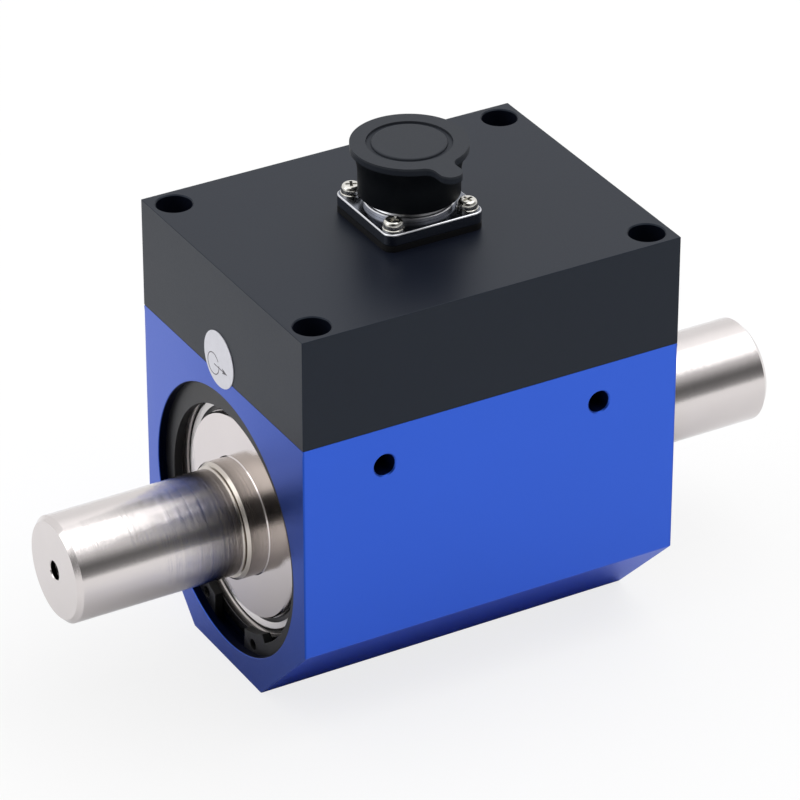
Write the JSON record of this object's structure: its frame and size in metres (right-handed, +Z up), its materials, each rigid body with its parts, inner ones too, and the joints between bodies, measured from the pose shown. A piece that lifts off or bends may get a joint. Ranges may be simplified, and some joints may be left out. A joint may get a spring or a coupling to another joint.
{
  "type": "rotary torque sensor",
  "caption": "Shaft-to-shaft rotary torque sensor: plain steel shaft on ball bearings in a square blue aluminium block, black electronics cover, flanged connector with rubber cap.",
  "frame": {"origin": "middle of the flat base, under the shaft's middle", "axes": "+X along the shaft, from the end with the label to the other; +Z up towards the connector; +Y completes it"},
  "size_m": [0.174, 0.072, 0.1165],
  "materials": {
    "blue_anodised": "fine blasted, blue anodised",
    "black_anodised": "fine blasted, black anodised",
    "turned_steel": "turned and ground",
    "polished_steel": "lapped, nearly mirror bright",
    "bearing_steel": "ground",
    "ball_steel": "polished",
    "cage_nylon": "glass filled nylon",
    "shield_steel": "pressed sheet",
    "black_steel": "black oxide",
    "ferrite": "sintered ferrite",
    "copper": "enamelled copper wire",
    "gauge_foil": "polyimide foil",
    "circuit_green": "solder mask",
    "component_black": "moulded",
    "brass": "turned",
    "zinc_steel": "bright zinc plate",
    "rubber_black": "moulded",
    "connector_nickel": "bright nickel plate",
    "insert_black": "moulded",
    "pin_gold": "gold flash",
    "wire_red": "wire insulation",
    "cap_rubber": "matt moulded",
    "label_white": "printed film"
  },
  "bodies": {
    "block": {"housing": "blue_anodised", "cover": "black_anodised", "cover_seal": "rubber_black", "cover_screws": "black_steel", "speed_pickup": "component_black", "circuit_board": "circuit_green", "board_standoffs": "brass", "board_screws": "zinc_steel", "board_parts": "component_black", "connector_gasket": "rubber_black", "connector_shell": "connector_nickel", "connector_insert": "insert_black", "connector_pins": "pin_gold", "connector_leads": "wire_red", "connector_screws": "zinc_steel", "connector_washers": "zinc_steel", "direction_label": "label_white", "front_outer_ring": "bearing_steel", "front_shields": "shield_steel", "front_circlip": "black_steel", "front_preload_ring": "bearing_steel", "front_stator_core": "ferrite", "front_stator_coil": "copper", "rear_outer_ring": "bearing_steel", "rear_shields": "shield_steel", "rear_circlip": "black_steel", "rear_preload_ring": "bearing_steel", "rear_stator_core": "ferrite", "rear_stator_coil": "copper"},
    "rotor": {"shaft": "turned_steel", "strain_gauges": "gauge_foil", "speed_disc": "shield_steel", "rotor_board": "circuit_green", "front_inner_ring": "bearing_steel", "front_slinger": "polished_steel", "front_rotor_core": "ferrite", "front_rotor_coil": "copper", "rear_inner_ring": "bearing_steel", "rear_slinger": "polished_steel", "rear_rotor_core": "ferrite", "rear_rotor_coil": "copper"},
    "front_cage_set": {"front_cage": "cage_nylon", "front_balls": "ball_steel"},
    "rear_cage_set": {"rear_cage": "cage_nylon", "rear_balls": "ball_steel"},
    "cap": {"dust_cap": "cap_rubber"}
  },
  "joints": [
    {"name": "shaft_spin", "type": "hinge", "parent": "block", "child": "rotor", "pos_m": [0, 0, 0.036], "axis": [1, 0, 0], "continuous": true},
    {"name": "front_cage_spin", "type": "hinge", "parent": "block", "child": "front_cage_set", "pos_m": [0, 0, 0.036], "axis": [1, 0, 0], "continuous": true},
    {"name": "rear_cage_spin", "type": "hinge", "parent": "block", "child": "rear_cage_set", "pos_m": [0, 0, 0.036], "axis": [1, 0, 0], "continuous": true},
    {"name": "cap_pull", "type": "slide", "parent": "block", "child": "cap", "axis": [0, 0, 1], "range_m": [0, 0.025]}
  ],
  "couplings": [
    {"joint": "front_cage_spin", "follows": "shaft_spin", "ratio": 0.39674},
    {"joint": "rear_cage_spin", "follows": "shaft_spin", "ratio": 0.39674}
  ]
}
